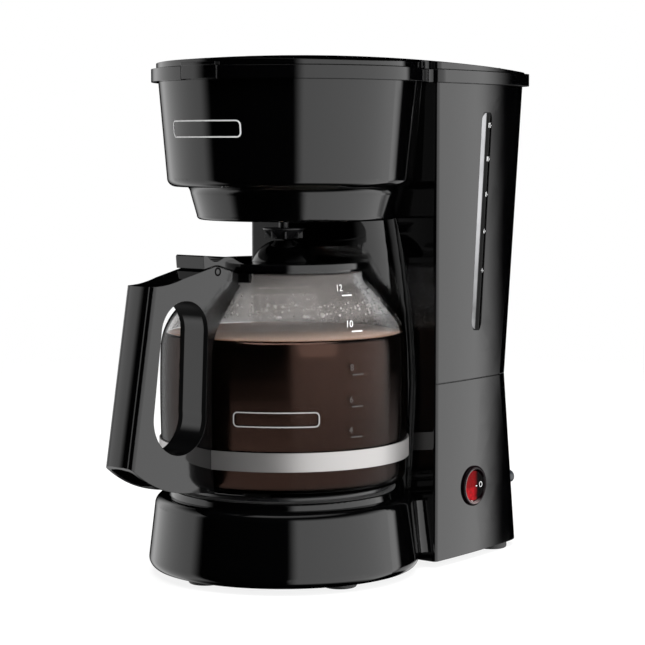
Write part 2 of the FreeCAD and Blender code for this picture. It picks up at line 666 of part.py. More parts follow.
LEADS = {
    "live_lead": [(60, 135, 44.2), (60, 126, 44.2), (57, 116, 24), (56, 100, 18), (56, 100, 28)],
    "neutral_lead": [(60, 135, 41.2), (60, 131, 41.2), (50, 120, 20), (28, 92, 16), (27, 52, 20),
                     (30, 44.5, 42), (40, 44.5, 48.4), (40, 39, 48.4)],
    "switched_lead": [(56, 88, 28), (56, 88, 14), (24, 62, 12), (0, 30, 16), (0, 12.6, 38), (0, 12.6, 47.4)],
    "link_lead": [(0, -12.6, 47.4), (0, -12.6, 40), (14, -12.6, 38), (14, 10, 38), (15, 19, 48.4), (8, 19, 48.4)],
    "element_lead": [(-8, 19, 48.4), (-15, 19, 48.4), (-26, 40, 45), (-40, 44.5, 48.4), (-40, 39, 48.4)],
}


def lead(points):
    return swept([Vector(*point) for point in points], 3.0, 1.1)


# Carafe, drawn with its handle along +X

def carafe_glass():
    return glass_form(0).cut(glass_form(-GLASS_WALL, NECK_TOP + 6))


def carafe_band():
    return ring(74.7, 73.8, 69.9, 80.7)


def handle_front(z):
    """Distance of the handle's front from the carafe axis, leaning out towards the bottom."""
    return 137.0 - (z - 77.3) * (137.0 - 119.5) / (176.0 - 77.3)


def handle_block(inset):
    half = HANDLE_HALF_WIDTH - inset

    def section(z):
        front = handle_front(z) - inset
        return face_of([(44, -half), (front - 3.2, -half), ((front - 1.1, -half + 1.0), (front - 0.4, -half + 3.4)),
                        ((front + 0.4, 0), (front - 0.4, half - 3.4)),
                        ((front - 1.1, half - 1.0), (front - 3.2, half)), (44, half)],
                       lambda x, y: Vector(x, y, z)).OuterWire

    return Part.makeLoft([section(40), section(200)], True, True)


HANDLE_SIDE = [(46, 179.0), (67.2, 185.1), (70.0, 185.4), (96.0, 179.6), ((106.0, 177.2), (116.0, 176.3)),
               (140, 176.0), (145, 77.6), (137.0, 77.4), ((116.6, 64.5), (93.0, 58.4)), (72.0, 56.0), (46, 56.0)]
FINGER_HOLE = [(78.4, 103.0), (76.4, 147.0), ((80.4, 160.8), (93.6, 167.0)), ((105.6, 163.4), (112.6, 152.6)),
               (119.2, 105.0), ((114.6, 88.4), (97.4, 80.6)), ((84.0, 86.6), (78.4, 103.0))]
TUNNEL_WALL = [(75.9, 102.0), (73.9, 147.2), ((78.6, 162.6), (93.4, 169.4)), ((107.2, 165.6), (114.9, 153.4)),
               (121.7, 105.0), ((116.6, 86.8), (97.6, 78.2)), ((82.0, 85.0), (75.9, 102.0))]


def carafe_handle():
    outside = handle_block(0).common(side_prism(HANDLE_SIDE, 30))
    keep_out = fused([glass_form(0.25), ring(75.0, 60, 69.6, 81.0), cylinder(52.4, 174.0, 190)])
    outside = outside.cut(keep_out)
    inset = HANDLE_WALL
    roof = [(r, z - inset) for r, z in HANDLE_SIDE[:4]]
    room = handle_block(inset).common(side_prism(roof + [(116.0, 174.0), (150, 174.0), (150, 40), (46, 40)], 30))
    room = room.cut(fused([glass_form(0.25 + inset), cylinder(75.0 + inset, 50, 84), cylinder(55.0, 160, 190)]))
    room = room.cut(side_prism(TUNNEL_WALL, 30))
    shell = outside.cut(room).cut(side_prism(FINGER_HOLE, 30))
    r, z = LEVER_PIN
    slot = block(r - 4.6, r + 4.6, -4.4, 4.4, z - 4, 192)
    pin = rod(Vector(r, -20, z), Vector(r, 20, z), PIN_R)
    screw = rod(Vector(70, 0, 75.3), Vector(90, 0, 75.3), 1.6)
    return shell.cut(slot).cut(pin).cut(screw)


def carafe_collar():
    """Clip that holds the handle's top to the glass neck."""
    half_angle = math.radians(20)
    reach = 60
    wedge = plate_of([(0, 0), (reach, -reach * math.tan(half_angle)), (reach, reach * math.tan(half_angle))],
                     170, 190)
    return ring(52.2, NECK_R + 0.1, 175.4, 180.8).common(wedge).cut(glass_form(0.1))


def carafe_lid():
    r, z = LEVER_PIN
    cap = turned([(46.2, 180.2), (46.5, 180.2), (46.5, 182.8), (49.3, 182.8), (49.3, 182.0),
                  (51.0, 182.0), (51.0, 185.2),
                  ((50.7, 185.8), (50.0, 186.0)), (19.4, 185.4), ((13.9, 193.2), (7.9, 197.3)),
                  (6.5, 197.7), (3.2, 197.7), (3.2, 195.4), (7.0, 195.4), ((12.2, 191.8), (17.4, 183.2)),
                  (44.2, 183.4), (44.6, 180.2)])
    lever = side_prism([(45, 184.4), (53.0, 184.4), (54.5, 182.2), (67.4, 186.0), (70.4, 186.0), (79.0, 184.3),
                        (79.6, 190.6), ((79.2, 191.6), (77.8, 191.8)), (76.0, 191.5),
                        ((70.8, 188.3), (65.0, 189.4)), ((60.4, 190.5), (56.0, 189.9)), (50.0, 187.0),
                        (45, 185.8)], HANDLE_HALF_WIDTH)
    ear = fused([rod(Vector(r, -4, z), Vector(r, 4, z), 3.3), block(r - 3.3, r + 3.3, -4, 4, z, 187)])
    return fused([cap, lever, ear]).cut(rod(Vector(r, -6, z), Vector(r, 6, z), PIN_HOLE_R))


def carafe_lid_pin():
    r, z = LEVER_PIN
    return rod(Vector(r, -HANDLE_HALF_WIDTH, z), Vector(r, HANDLE_HALF_WIDTH, z), PIN_R)


def band_screw():
    return fused([rod(Vector(74.8, 0, 75.3), Vector(78.0, 0, 75.3), 1.5),
                  rod(Vector(77.6, 0, 75.3), Vector(79.6, 0, 75.3), 3.2)])


# Every piece by its node name

MACHINE = {
    "base_housing": base_housing,
    "bottom_cover": bottom_cover,
    "base_screws": base_screws,
    "feet": feet,
    "upper_housing": upper_housing,
    "rim_collar": rim_collar,
    "water_window": water_window,
    "brew_chamber": brew_chamber,
    "filter_basket": filter_basket,
    "valve_cage": valve_cage,
    "drip_valve": drip_valve,
    "valve_seal": lambda: ring(7.4, 3.0, 215.4, 216.2),
    "valve_spring": valve_spring,
    "lid": lid,
    "lid_hinge_pins": lid_hinge_pins,
    "shower_head": shower_head,
    "water_tank": water_tank,
    "check_valve_cage": check_valve_cage,
    "check_valve_ball": check_valve_ball,
    "inlet_hose": inlet_hose,
    "water_tube": water_tube,
    "outlet_hose": outlet_hose,
    "riser_tube": riser_tube,
    "outlet_nozzle": outlet_nozzle,
    "hot_plate": hot_plate,
    "plate_seal": plate_seal,
    "heating_element": heating_element,
    "element_terminals": element_terminals,
    "element_bracket": element_bracket,
    "bracket_screws": bracket_screws,
    "thermostat": thermostat,
    "thermal_fuse": thermal_fuse,
    "fuse_sleeve": fuse_sleeve,
    "switch_bezel": switch_bezel,
    "switch_body": switch_body,
    "switch_lamp": switch_lamp,
    "switch_rocker": switch_rocker,
    "rocker_pin": rocker_pin,
    "cord_gland": cord_gland,
}
CARAFE = {
    "carafe_handle": carafe_handle,
    "carafe_collar": carafe_collar,
    "carafe_lid": carafe_lid,
    "carafe_lid_pin": carafe_lid_pin,
    "band_screw": band_screw,
    "carafe_band": carafe_band,
    "carafe_glass": carafe_glass,
}


def write_all():
    os.makedirs("parts", exist_ok=True)
    pieces = {name: build() for name, build in MACHINE.items()}
    pieces.update({name: lead(points) for name, points in LEADS.items()})
    pieces.update({name: on_carafe(build()) for name, build in CARAFE.items()})
    for name, shape in pieces.items():
        shape.translate(Vector(0, FRAME_Y, 0))
        shape.exportStep("parts/" + name + ".step")
        box = shape.BoundBox
        print("%-18s %d solid(s), volume %.0f, x %.1f..%.1f, y %.1f..%.1f, z %.1f..%.1f" % (
            name, len(shape.Solids), shape.Volume, box.XMin, box.XMax, box.YMin, box.YMax,
            box.ZMin, box.ZMax))


write_all()
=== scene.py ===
import math
import random

import bmesh
import bpy
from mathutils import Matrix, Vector


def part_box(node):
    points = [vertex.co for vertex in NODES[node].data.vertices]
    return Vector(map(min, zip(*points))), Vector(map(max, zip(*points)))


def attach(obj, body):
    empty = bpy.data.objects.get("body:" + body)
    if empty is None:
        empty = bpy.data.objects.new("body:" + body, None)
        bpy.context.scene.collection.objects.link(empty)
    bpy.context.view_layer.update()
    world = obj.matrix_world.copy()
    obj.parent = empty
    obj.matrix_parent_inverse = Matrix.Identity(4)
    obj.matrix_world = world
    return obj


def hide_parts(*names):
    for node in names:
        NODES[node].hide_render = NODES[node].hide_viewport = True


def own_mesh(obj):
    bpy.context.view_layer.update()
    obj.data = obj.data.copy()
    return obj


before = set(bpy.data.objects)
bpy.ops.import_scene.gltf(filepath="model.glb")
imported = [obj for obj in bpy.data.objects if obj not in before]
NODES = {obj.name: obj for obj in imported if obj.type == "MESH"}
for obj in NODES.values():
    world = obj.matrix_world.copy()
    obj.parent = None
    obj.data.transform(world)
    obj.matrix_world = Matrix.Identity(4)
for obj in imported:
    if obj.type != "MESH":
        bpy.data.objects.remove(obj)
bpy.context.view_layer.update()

# Driving dimensions, in metres and degrees, in the row frame

CAMERA_AT = Vector((0.78165, -0.96113, 0.25318))
CAMERA_AZIMUTH = 38.54
CAMERA_DOWN = 4.88
CAMERA_LENS = 115.0

COFFEE_LEVEL = 0.1435
HANDLE_TURN = 2.5
PIN_RADIUS = 0.0015
SPRING_WIRE = 0.0004
SPRING_PITCH = 0.0022
SPRING_STEPS = 36
SPRING_SIDES = 10
PRINT_DEPTH = 0.00008
BEVEL_INNER = 0.0108
BEVEL_OUTER = 0.0113
DROPLETS = 420
OUTLINE_STEP = 0.0015
CORNER_STEPS = 8
HEAD_BADGE_HEIGHT = 0.2632
HEAD_BADGE_TURN = -2.5
GLASS_BADGE_HEIGHT = 0.0995
GLASS_BADGE_ANGLE = 36.0
HOLE_LIP = 0.0078
HOLE_REACH = 0.1300
HOLE_LEAN = 0.09
HOLE_TOP = 0.1690
GLASS_LOW, GLASS_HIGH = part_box("carafe_glass")
AXIS_Y = (GLASS_LOW.y + GLASS_HIGH.y) / 2
CARAFE_AXIS = Vector((0, AXIS_Y, 0))
SWITCH_LOW, SWITCH_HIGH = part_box("switch_rocker")
SWITCH_CENTRE = (SWITCH_LOW + SWITCH_HIGH) / 2
WINDOW_LOW, WINDOW_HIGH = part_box("water_window")
WINDOW_INSET = 0.00512
WINDOW_SLOPE = 0.38


# Node trees

class Tree:
    """A small helper that adds nodes and links them."""

    def __init__(self, owner):
        owner.use_nodes = True
        self.tree = owner.node_tree
        self.tree.nodes.clear()

    def add(self, kind, inputs=None, **settings):
        node = self.tree.nodes.new(kind)
        for name, value in settings.items():
            setattr(node, name, value)
        for name, value in (inputs or {}).items():
            self.put(node.inputs[name], value)
        return node

    def put(self, socket, value):
        if isinstance(value, bpy.types.NodeSocket):
            self.tree.links.new(value, socket)
        else:
            socket.default_value = value

    def math(self, operation, a, b=0.0):
        node = self.add("ShaderNodeMath", operation=operation)
        self.put(node.inputs[0], a)
        self.put(node.inputs[1], b)
        return node.outputs[0]

    def dot(self, vector, axis):
        node = self.add("ShaderNodeVectorMath", operation="DOT_PRODUCT")
        self.put(node.inputs[0], vector)
        node.inputs[1].default_value = axis
        return node.outputs["Value"]

    def ramp(self, value, low, high, start=0.0, end=1.0, smooth=True):
        """value mapped from low..high to start..end, and held there outside."""
        node = self.add("ShaderNodeMapRange", interpolation_type="SMOOTHSTEP" if smooth else "LINEAR")
        self.put(node.inputs["Value"], value)
        node.inputs["From Min"].default_value = low
        node.inputs["From Max"].default_value = high
        node.inputs["To Min"].default_value = start
        node.inputs["To Max"].default_value = end
        return node.outputs["Result"]

    def noise(self, vector, scale, detail=2.0, roughness=0.5):
        node = self.add("ShaderNodeTexNoise", {"Vector": vector, "Scale": scale, "Detail": detail,
                                               "Roughness": roughness})
        return node.outputs[0]

    def mix(self, share, first, second):
        node = self.add("ShaderNodeMix", data_type="RGBA")
        self.put(node.inputs[0], share)
        self.put(node.inputs[6], first)
        self.put(node.inputs[7], second)
        return node.outputs[2]

    def bump(self, height, strength, distance, normal=None):
        node = self.add("ShaderNodeBump", {"Height": height, "Strength": strength, "Distance": distance})
        if normal is not None:
            self.put(node.inputs["Normal"], normal)
        return node.outputs[0]


def rgb(colour):
    return (colour[0], colour[1], colour[2], 1.0)


def scaled(colour, factor):
    return rgb([channel * factor for channel in colour])


def surface(name, colour, roughness, *, metallic=0.0, ior=1.5, transmission=0.0, coat=0.0,
            coat_roughness=0.05, anisotropic=0.0, sheen=0.0, variety=0.12, cloud=30.0, grain=900.0,
            grain_depth=0.00001, stretch=(1, 1, 1), edge=0.0):
    """A finished material: clouded colour and roughness, and a fine grain in the surface.

    roughness is a (low, high) pair. stretch squeezes the grain along an axis, as brushing does.
    edge rounds the corners that light catches on, by that radius."""
    material = bpy.data.materials.new(name)
    tree = Tree(material)
    place = tree.add("ShaderNodeTexCoord").outputs["Object"]
    patch = tree.noise(place, cloud, 3.0)
    base = tree.mix(patch, scaled(colour, 1 - variety), scaled(colour, 1 + variety))
    stretched = tree.add("ShaderNodeMapping", {"Vector": place, "Scale": stretch}).outputs[0]
    speck = tree.noise(stretched, grain, 2.0)
    normal = None
    if edge:
        normal = tree.add("ShaderNodeBevel", {"Radius": edge}, samples=4).outputs[0]
    relief = tree.bump(speck, 1.0, grain_depth, normal)
    shader = tree.add("ShaderNodeBsdfPrincipled", {
        "Base Color": base, "Roughness": tree.ramp(patch, 0.35, 0.65, *roughness), "Normal": relief,
        "Metallic": metallic, "IOR": ior, "Transmission Weight": transmission, "Coat Weight": coat,
        "Coat Roughness": coat_roughness, "Anisotropic": anisotropic, "Sheen Weight": sheen})
    tree.add("ShaderNodeOutputMaterial", {"Surface": shader.outputs[0]})
    return material


# Materials

BLACK = (0.0007, 0.0007, 0.0008)
SATIN = (0.010, 0.010, 0.011)

gloss_black = surface("gloss_black", BLACK, (0.035, 0.06), edge=0.0005, grain=420, grain_depth=0.000002)
satin_black = surface("satin_black", SATIN, (0.28, 0.38), edge=0.0004, grain=1500, grain_depth=0.00002)
dull_black = surface("dull_black", BLACK, (0.5, 0.6), ior=1.05, grain=1500)
chamber_black = surface("chamber_black", BLACK, (0.06, 0.10), edge=0.0005, grain=500, grain_depth=0.000003)
plate_enamel = surface("plate_enamel", (0.012, 0.012, 0.013), (0.22, 0.34), grain=700, grain_depth=0.00004,
                       edge=0.0004, coat=0.3, coat_roughness=0.12)
band_steel = surface("band_steel", (0.37, 0.36, 0.355), (0.32, 0.38), metallic=0.73, variety=0.03,
                     grain=2600, stretch=(0.02, 0.02, 1.0), grain_depth=0.000004, anisotropic=0.3)
bright_steel = surface("bright_steel", (0.62, 0.62, 0.61), (0.22, 0.32), metallic=1.0, variety=0.06,
                       grain=1800, grain_depth=0.00001)
zinc = surface("zinc", (0.55, 0.55, 0.52), (0.34, 0.5), metallic=1.0, variety=0.1, cloud=220,
               grain=1600, grain_depth=0.00002)
drawn_aluminium = surface("drawn_aluminium", (0.76, 0.76, 0.77), (0.3, 0.42), metallic=1.0, variety=0.05,
                          grain=1400, stretch=(1, 0.05, 1), grain_depth=0.00001)
rubber = surface("rubber", (0.014, 0.014, 0.014), (0.55, 0.7), grain=1700, grain_depth=0.00004, sheen=0.1)
silicone = surface("silicone", (0.62, 0.62, 0.58), (0.3, 0.42), variety=0.06, grain=900,
                   grain_depth=0.00001, transmission=0.25)
white_plastic = surface("white_plastic", (0.74, 0.74, 0.70), (0.28, 0.38), variety=0.05, grain=1300)
phenolic = surface("phenolic", (0.58, 0.55, 0.46), (0.5, 0.65), variety=0.15, cloud=300, grain=1100,
                   grain_depth=0.00003)
glass_braid = surface("glass_braid", (0.72, 0.70, 0.62), (0.7, 0.85), variety=0.1, grain=2200,
                      stretch=(1, 1, 0.4), grain_depth=0.0001, sheen=0.3)
brown_wire = surface("brown_wire", (0.12, 0.045, 0.02), (0.35, 0.45), grain=900)
blue_wire = surface("blue_wire", (0.02, 0.06, 0.30), (0.35, 0.45), grain=900)
white_wire = surface("white_wire", (0.62, 0.62, 0.58), (0.35, 0.45), grain=900)
gland_rubber = surface("gland_rubber", (0.018, 0.021, 0.026), (0.3, 0.4), grain=1200, grain_depth=0.00002)
mark_white = surface("mark_white", (0.80, 0.80, 0.80), (0.4, 0.5), variety=0.04, cloud=500, grain=2000)
mark_grey = surface("mark_grey", (0.045, 0.040, 0.038), (0.4, 0.5), variety=0.08, cloud=500, grain=2000)
badge_grey = surface("badge_grey", (0.38, 0.38, 0.38), (0.4, 0.5), variety=0.06, cloud=400, grain=2000)
# drop_water: clear drops painted pale grey, a painted highlight that shows them as light specks
drop_water = surface("drop_water", (0.72, 0.70, 0.68), (0.05, 0.1), ior=1.33, transmission=0.65,
                     variety=0.1, grain=200, grain_depth=0.000001)


def glass_material():
    """Clear glass, its heel darkened by painted shade."""
    material = bpy.data.materials.new("carafe_glass")
    tree = Tree(material)
    place = tree.add("ShaderNodeTexCoord").outputs["Object"]
    height = tree.math("SUBTRACT", tree.dot(place, (0, 0, 1)), GLASS_LOW.z)
    # painted shade: the bottom few millimetres of the glass are tinted dark grey
    colour = tree.mix(tree.ramp(height, 0.0025, 0.0055), rgb((0.18, 0.18, 0.18)), rgb((1.0, 1.0, 1.0)))
    waves = tree.noise(place, 60, 2.0)
    shader = tree.add("ShaderNodeBsdfPrincipled", {
        "Base Color": colour, "Roughness": tree.ramp(waves, 0.3, 0.7, 0.0, 0.012), "IOR": 1.09,
        "Transmission Weight": 1.0, "Normal": tree.bump(waves, 1.0, 0.000004)})
    tree.add("ShaderNodeOutputMaterial", {"Surface": shader.outputs[0]})
    return material


def window_material():
    """Stands for a clear bar: opaque, with a painted lit front facet, pale and darker towards the bottom, and
    a near-black painted shaded facet on the other side.
    """
    material = bpy.data.materials.new("window_bar")
    tree = Tree(material)
    place = tree.add("ShaderNodeTexCoord").outputs["Object"]
    lean = (WINDOW_HIGH.y - WINDOW_LOW.y - 2 * WINDOW_INSET) / (WINDOW_HIGH.z - WINDOW_LOW.z)
    foot = WINDOW_LOW.y + WINDOW_INSET
    height = tree.math("SUBTRACT", tree.dot(place, (0, 0, 1)), WINDOW_LOW.z)
    across = tree.math("SUBTRACT", tree.dot(place, (0, 1, 0)), tree.math("MULTIPLY", height, lean))
    # painted shade: the facet away from the light is near-black
    shaded_facet = tree.ramp(tree.math("SUBTRACT", across, foot), -0.0030, -0.0022)
    haze = tree.noise(place, 60, 3.0)
    # painted light: the front facet is pale, darker towards the bottom
    painted_lit_side = tree.mix(tree.ramp(height, 0.0, 0.075), rgb((0.10, 0.10, 0.10)), rgb((0.40, 0.40, 0.41)))
    painted_lit_side = tree.mix(tree.ramp(haze, 0.4, 0.8), painted_lit_side, rgb((0.32, 0.32, 0.33)))
    colour = tree.mix(shaded_facet, painted_lit_side, rgb((0.002, 0.002, 0.002)))
    relief = tree.bump(haze, 1.0, 0.00004)
    shader = tree.add("ShaderNodeBsdfPrincipled", {"Base Color": colour, "Roughness": 0.12,
                                                   "Normal": relief, "IOR": 1.2})
    tree.add("ShaderNodeOutputMaterial", {"Surface": shader.outputs[0]})
    return material


def rocker_material():
    """Red lens with cut facets painted in light and shade, a brighter lower half of painted light, running
    into black painted shade towards the back.
    """
    material = bpy.data.materials.new("rocker_lens")
    tree = Tree(material)
    place = tree.add("ShaderNodeTexCoord").outputs["Object"]
    across = tree.math("SUBTRACT", tree.dot(place, (0, 1, 0)), SWITCH_CENTRE.y)
    cells = tree.add("ShaderNodeTexVoronoi", {"Vector": place, "Scale": 380.0, "Randomness": 0.6})
    height = tree.dot(place, (0, 0, 1))
    # painted light: the lower half is a brighter red
    painted_lit_low_half = tree.ramp(height, SWITCH_CENTRE.z - 0.0012, SWITCH_CENTRE.z - 0.0004, 1.0, 0.0)
    red = tree.mix(painted_lit_low_half, rgb((0.21, 0.005, 0.006)), rgb((0.47, 0.010, 0.016)))
    # painted light and shade on the cut facets: red in each cell's middle, darker at its edges
    faceted_red = tree.mix(cells.outputs["Distance"], red, rgb((0.12, 0.002, 0.003)))
    # painted shade: the lens runs into black towards the back
    colour = tree.mix(tree.ramp(across, 0.0002, 0.0040), faceted_red, rgb((0.0008, 0.0004, 0.0004)))
    relief = tree.bump(cells.outputs["Distance"], 0.6, 0.0004)
    shader = tree.add("ShaderNodeBsdfPrincipled", {
        "Base Color": colour, "Roughness": tree.ramp(cells.outputs["Distance"], 0, 1, 0.2, 0.3),
        "Normal": relief, "IOR": 1.08})
    tree.add("ShaderNodeOutputMaterial", {"Surface": shader.outputs[0]})
    return material


def handle_material():
    """Gloss black, made dull on the rounded lip and the curved ends of the finger hole."""
    material = bpy.data.materials.new("handle_black")
    tree = Tree(material)
    place = tree.add("ShaderNodeTexCoord").outputs["Object"]
    facing = tree.add("ShaderNodeNewGeometry").outputs["Normal"]
    turn = math.radians(HANDLE_TURN)
    sideways = (math.cos(turn), -math.sin(turn), 0)
    side = tree.math("ABSOLUTE", tree.math("SUBTRACT", tree.dot(place, sideways), -AXIS_Y * math.sin(turn)))
    flat = tree.math("LESS_THAN", tree.math("ABSOLUTE", tree.dot(facing, sideways)), 0.5)
    lean = tree.math("ABSOLUTE", tree.dot(facing, (0, 0, 1)))
    lip = tree.math("MAXIMUM", tree.ramp(side, HOLE_LIP - 0.0006, HOLE_LIP), tree.ramp(lean, 0.25, 0.5))
    far = tree.add("ShaderNodeVectorMath", {0: place, 1: (0, AXIS_Y, 0)}, operation="SUBTRACT").outputs[0]
    reach = tree.dot(far, (-math.sin(turn), -math.cos(turn), 0))
    height = tree.dot(place, (0, 0, 1))
    inside = tree.math("MULTIPLY", tree.math("LESS_THAN", tree.math("ADD", reach, tree.math(
        "MULTIPLY", height, HOLE_LEAN)), HOLE_REACH), tree.math("LESS_THAN", height, HOLE_TOP))
    share = tree.math("MULTIPLY", tree.math("MULTIPLY", flat, lip), inside)
    cloud = tree.noise(place, 30, 3.0)
    base = tree.mix(cloud, scaled(BLACK, 0.88), scaled(BLACK, 1.12))
    rounded = tree.add("ShaderNodeBevel", {"Radius": 0.0005}, samples=4).outputs[0]
    gloss = tree.add("ShaderNodeBsdfPrincipled", {
        "Base Color": base, "Roughness": tree.ramp(cloud, 0.35, 0.65, 0.035, 0.06),
        "Normal": tree.bump(tree.noise(place, 420, 2.0), 1.0, 0.000002, rounded)})
    dull = tree.add("ShaderNodeBsdfPrincipled", {"Base Color": base, "Roughness": 0.3, "IOR": 1.08})
    both = tree.add("ShaderNodeMixShader", {0: share, 1: gloss.outputs[0], 2: dull.outputs[0]})
    tree.add("ShaderNodeOutputMaterial", {"Surface": both.outputs[0]})
    return material


def bezel_material():
    """Black ring whose inner bevel carries a painted highlight, a paler, pinkish grey, on its front side
    only.
    """
    material = bpy.data.materials.new("switch_bezel")
    tree = Tree(material)
    place = tree.add("ShaderNodeTexCoord").outputs["Object"]
    from_centre = tree.add("ShaderNodeVectorMath", {0: place, 1: SWITCH_CENTRE},
                           operation="SUBTRACT").outputs[0]
    flat = tree.add("ShaderNodeVectorMath", {0: from_centre, 1: (0, 1, 1)},
                    operation="MULTIPLY").outputs[0]
    reach = tree.add("ShaderNodeVectorMath", {0: flat}, operation="LENGTH").outputs["Value"]
    bevel = tree.ramp(reach, BEVEL_INNER, BEVEL_OUTER, 1.0, 0.0)
    # painted light: only the front side of the bevel is lit
    painted_lit_side = tree.ramp(tree.dot(from_centre, (0, 1, 0.3)), -0.003, 0.004, 1.0, 0.0)
    grain = tree.noise(place, 900, 2.0)
    # painted highlight: pinkish grey, as if lit by the red lens beside it
    painted_glint = tree.mix(grain, rgb((0.13, 0.095, 0.095)), rgb((0.17, 0.13, 0.13)))
    colour = tree.mix(tree.math("MULTIPLY", bevel, painted_lit_side), rgb((0.003, 0.001, 0.0015)), painted_glint)
    shader = tree.add("ShaderNodeBsdfPrincipled", {
        "Base Color": colour, "Roughness": tree.ramp(grain, 0.3, 0.7, 0.10, 0.16), "IOR": 1.2,
        "Normal": tree.bump(grain, 1.0, 0.000004)})
    tree.add("ShaderNodeOutputMaterial", {"Surface": shader.outputs[0]})
    return material


def fog_material():
    """Streaked steam film inside the glass, painted paler as painted light towards the tower, and thin low
    down in front.
    """
    material = bpy.data.materials.new("steam_film")
    tree = Tree(material)
    place = tree.add("ShaderNodeTexCoord").outputs["Object"]
    streaks = tree.add("ShaderNodeMapping", {"Vector": place, "Scale": (1, 1, 0.25)}).outputs[0]
    cloud = tree.noise(streaks, 55, 5.0, 0.6)
    height = tree.dot(place, (0, 0, 1))
    round_x = tree.dot(place, (1, 0, 0))
    round_y = tree.math("SUBTRACT", AXIS_Y, tree.dot(place, (0, 1, 0)))
    angle = tree.math("MULTIPLY", tree.math("ARCTAN2", round_x, round_y), 180 / math.pi)
    # painted light: the film is painted paler in the arc from 92 to 175 degrees, where the light falls
    bright = tree.math("MULTIPLY", tree.ramp(angle, 92, 104), tree.ramp(angle, 150, 175, 1.0, 0.0))
    front = tree.math("MULTIPLY", tree.ramp(angle, -70, -45), tree.ramp(angle, 120, 140, 1.0, 0.0))
    low_down = tree.ramp(height, COFFEE_LEVEL + 0.008, COFFEE_LEVEL + 0.014, 1.0, 0.0)
    wiped = tree.math("MULTIPLY", front, low_down)
    cover = tree.math("MULTIPLY", tree.ramp(cloud, 0.25, 0.75, 0.42, 0.60),
                      tree.math("SUBTRACT", 1.0, tree.math("MULTIPLY", wiped, 0.72)))
    unlit_film = tree.mix(cloud, rgb((0.17, 0.156, 0.148)), rgb((0.25, 0.233, 0.224)))
    beads = tree.noise(place, 900, 2.0)
    # thick: the beaded film, painted paler as painted light inside that arc
    thick = tree.mix(tree.ramp(beads, 0.4, 0.6), rgb((0.26, 0.26, 0.26)), rgb((0.50, 0.50, 0.50)))
    clear = tree.add("ShaderNodeBsdfTransparent")
    mist = tree.add("ShaderNodeBsdfPrincipled", {
        "Base Color": tree.mix(bright, unlit_film, thick), "Specular IOR Level": 0.1,
        "Roughness": 0.5, "Normal": tree.bump(tree.noise(place, 1400, 2.0), 1.0, 0.00005)})
    both = tree.add("ShaderNodeMixShader", {0: cover, 1: clear.outputs[0], 2: mist.outputs[0]})
    tree.add("ShaderNodeOutputMaterial", {"Surface": both.outputs[0]})
    return material


FINISHES = {
    gloss_black: ["base_housing", "upper_housing", "rim_collar", "lid", "carafe_collar", "carafe_lid",
                  "carafe_lid_pin"],
    chamber_black: ["brew_chamber"],
    satin_black: ["bottom_cover", "filter_basket", "valve_cage", "drip_valve", "shower_head", "water_tank",
                  "switch_body"],
    plate_enamel: ["hot_plate"],
    band_steel: ["carafe_band"],
    bright_steel: ["valve_spring", "lid_hinge_pins", "element_terminals", "element_bracket", "thermal_fuse",
                   "rocker_pin"],
    zinc: ["base_screws", "bracket_screws", "band_screw"],
    drawn_aluminium: ["water_tube", "heating_element"],
    rubber: ["feet", "plate_seal"],
    silicone: ["valve_seal", "inlet_hose", "outlet_hose", "outlet_nozzle"],
    white_plastic: ["check_valve_cage", "check_valve_ball", "riser_tube"],
    phenolic: ["thermostat"],
    glass_braid: ["fuse_sleeve"],
    brown_wire: ["live_lead", "switched_lead"],
    blue_wire: ["neutral_lead"],
    white_wire: ["link_lead", "element_lead"],
    gland_rubber: ["cord_gland"],
    glass_material(): ["carafe_glass"],
    surface("lamp_glass", (0.9, 0.35, 0.2), (0.05, 0.1), transmission=0.6, grain=300): ["switch_lamp"],
    window_material(): ["water_window"],
    rocker_material(): ["switch_rocker"],
    bezel_material(): ["switch_bezel"],
    handle_material(): ["carafe_handle"],
}


def finish_cad_nodes():
    for material, names in FINISHES.items():
        for name in names:
            node = NODES[name]
            node.data.materials.clear()
            node.data.materials.append(material)


# Mesh builders

def piece(name, mesh, material, body):
    made = bpy.data.objects.new(name, mesh)
    bpy.context.scene.collection.objects.link(made)
    mesh.materials.clear()
    mesh.materials.append(material)
    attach(made, body)
    return made


def lathe(name, profile, centre, closed, steps=160):
    """A surface of revolution about the vertical line through centre, from (radius, height) pairs.

    The profile starts and ends on the axis, or is closed on itself."""
    build = bmesh.new()
    rings = []
    for radius, height in profile:
        if radius < 1e-7:
            rings.append([build.verts.new((centre.x, centre.y, height))])
            continue
        rings.append([build.verts.new((centre.x + radius * math.cos(2 * math.pi * k / steps),
                                       centre.y + radius * math.sin(2 * math.pi * k / steps), height))
                      for k in range(steps)])
    pairs = list(zip(rings, rings[1:]))
    if closed:
        pairs.append((rings[-1], rings[0]))
    for low, high in pairs:
        for k in range(steps):
            after = (k + 1) % steps
            corners = [low[k % len(low)], low[after % len(low)], high[after % len(high)], high[k % len(high)]]
            build.faces.new(list(dict.fromkeys(corners)))
    bmesh.ops.recalc_face_normals(build, faces=build.faces)
    for face in build.faces:
        face.smooth = True
    mesh = bpy.data.meshes.new(name)
    build.to_mesh(mesh)
    build.free()
    return mesh


def wall_radius(height, outside, angle=20.0):
    """The glass wall's radius at a height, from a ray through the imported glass."""
    turn = math.radians(angle)
    away = Vector((math.cos(turn), math.sin(turn), 0))
    middle = Vector((0, AXIS_Y, height))
    if outside:
        hit, spot, _, _ = NODES["carafe_glass"].ray_cast(middle + away * 0.2, -away)
    else:
        hit, spot, _, _ = NODES["carafe_glass"].ray_cast(middle, away)
    return (spot - middle).length if hit else 0.0


def sampled(low, high, count):
    return [low + (high - low) * k / (count - 1) for k in range(count)]


